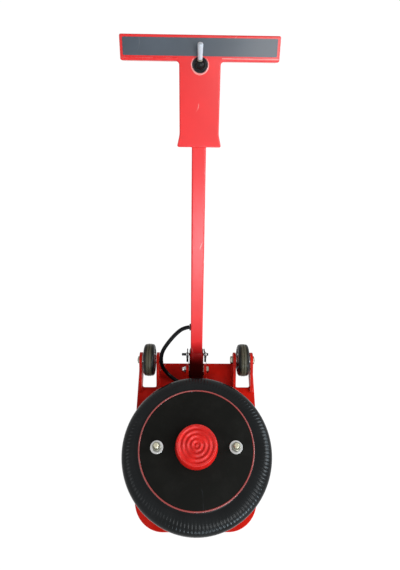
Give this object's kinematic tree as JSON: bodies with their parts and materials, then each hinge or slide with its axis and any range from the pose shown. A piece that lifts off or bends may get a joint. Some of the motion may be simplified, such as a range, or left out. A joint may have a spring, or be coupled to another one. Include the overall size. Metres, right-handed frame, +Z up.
{
  "type": "air bag trolley jack",
  "caption": "Pneumatic floor jack: a flat wheeled base plate with a lobed air bag and round saddle, hinged T-handle with air lever and hose.",
  "frame": {"origin": "on the floor under the air bag's axis, at the underside of the base plate", "axes": "+Z up; +Y to the rear, where the wheels and the handle are; +X to the right, seen from the front"},
  "size_m": [0.3048, 0.737, 0.6027],
  "materials": {
    "red_plate": "gloss red powder coat, light wear",
    "red_handle": "gloss red powder coat, small scratches",
    "red_saddle": "red paint on cast iron, worn edges",
    "zinc": "bright zinc plate",
    "black_wire": "black oxide",
    "steel_inner": "plain steel",
    "bag_rubber": "matt, finely ribbed",
    "pad_rubber": "matt, light scuffs",
    "tyre_rubber": "fine tread lines",
    "rim_metal": "cast, satin",
    "bronze": "sintered, oiled",
    "brass_plated": "nickel plate",
    "valve_alloy": "dark anodised",
    "boot_rubber": "soft, matt",
    "knob_plastic": "pale grey, smooth",
    "panel_plastic": "dark, bare",
    "hose_rubber": "smooth, satin",
    "line_plastic": "plain"
  },
  "bodies": {
    "base": {"base_plate": "red_plate", "wheel_ear_outer_left": "red_plate", "wheel_ear_outer_right": "red_plate", "wheel_ear_inner_left": "red_plate", "wheel_ear_inner_right": "red_plate", "hinge_ear_left": "red_plate", "hinge_ear_right": "red_plate", "handle_stop": "red_plate", "pivot_bolt": "zinc", "pivot_cap_nut": "zinc", "thrust_washers": "zinc", "axle_bolts": "zinc", "axle_nuts": "zinc", "axle_washers": "zinc", "pedestal_ring": "steel_inner", "mount_screws": "zinc", "inlet_fitting": "brass_plated", "lower_bead_plate": "steel_inner", "inner_bumper": "pad_rubber", "bag_lower_lobe": "bag_rubber", "hose": "hose_rubber"},
    "girdle": {"girdle_hoop": "black_wire", "bag_upper_lobe": "bag_rubber"},
    "top": {"upper_bead_plate": "red_saddle", "top_pad": "pad_rubber", "saddle": "red_saddle", "saddle_screw": "zinc", "top_studs": "zinc", "stud_washers": "zinc", "stud_nuts": "zinc"},
    "wheel_left": {"wheel_tyre_left": "tyre_rubber", "wheel_rim_left": "rim_metal", "wheel_bush_left": "bronze"},
    "wheel_right": {"wheel_tyre_right": "tyre_rubber", "wheel_rim_right": "rim_metal", "wheel_bush_right": "bronze"},
    "handle": {"handle_socket": "red_handle", "pivot_bush": "bronze", "handle_shaft": "red_handle", "cross_rod": "black_wire", "rod_collars": "zinc", "rod_clips": "black_wire", "return_springs": "black_wire", "head_shell": "red_handle", "head_back_plate": "red_handle", "back_screws": "zinc", "label_panel": "panel_plastic", "valve_body": "valve_alloy", "valve_boot": "boot_rubber", "air_inlet_plug": "brass_plated", "air_line": "line_plastic", "hose_gland": "brass_plated"},
    "lever": {"lever_ball": "zinc", "lever_stem": "zinc", "lever_knob": "knob_plastic"}
  },
  "joints": [
    {"name": "girdle_lift", "type": "slide", "parent": "base", "child": "girdle", "axis": [0, 0, 1], "range_m": [0, 0.1], "deforming": ["bag_lower_lobe"]},
    {"name": "top_lift", "type": "slide", "parent": "girdle", "child": "top", "axis": [0, 0, 1], "range_m": [0, 0.1], "deforming": ["bag_upper_lobe"]},
    {"name": "wheel_left_spin", "type": "hinge", "parent": "base", "child": "wheel_left", "pos_m": [-0.10875, 0.206, 0.0395], "axis": [1, 0, 0], "continuous": true},
    {"name": "wheel_right_spin", "type": "hinge", "parent": "base", "child": "wheel_right", "pos_m": [0.10875, 0.206, 0.0395], "axis": [1, 0, 0], "continuous": true},
    {"name": "handle_tilt", "type": "hinge", "parent": "base", "child": "handle", "pos_m": [0, 0.187, 0.027], "axis": [1, 0, 0], "range_deg": [0, 34.3], "stiffness_Nm_per_rad": 0.3, "deforming": ["return_springs", "hose"]},
    {"name": "lever_flip", "type": "hinge", "parent": "handle", "child": "lever", "pos_m": [0, 0.53232, 0.56471], "axis": [1, 0, 0], "range_deg": [0, 110]}
  ],
  "couplings": [
    {"joint": "girdle_lift", "follows": "top_lift", "ratio": 1}
  ]
}
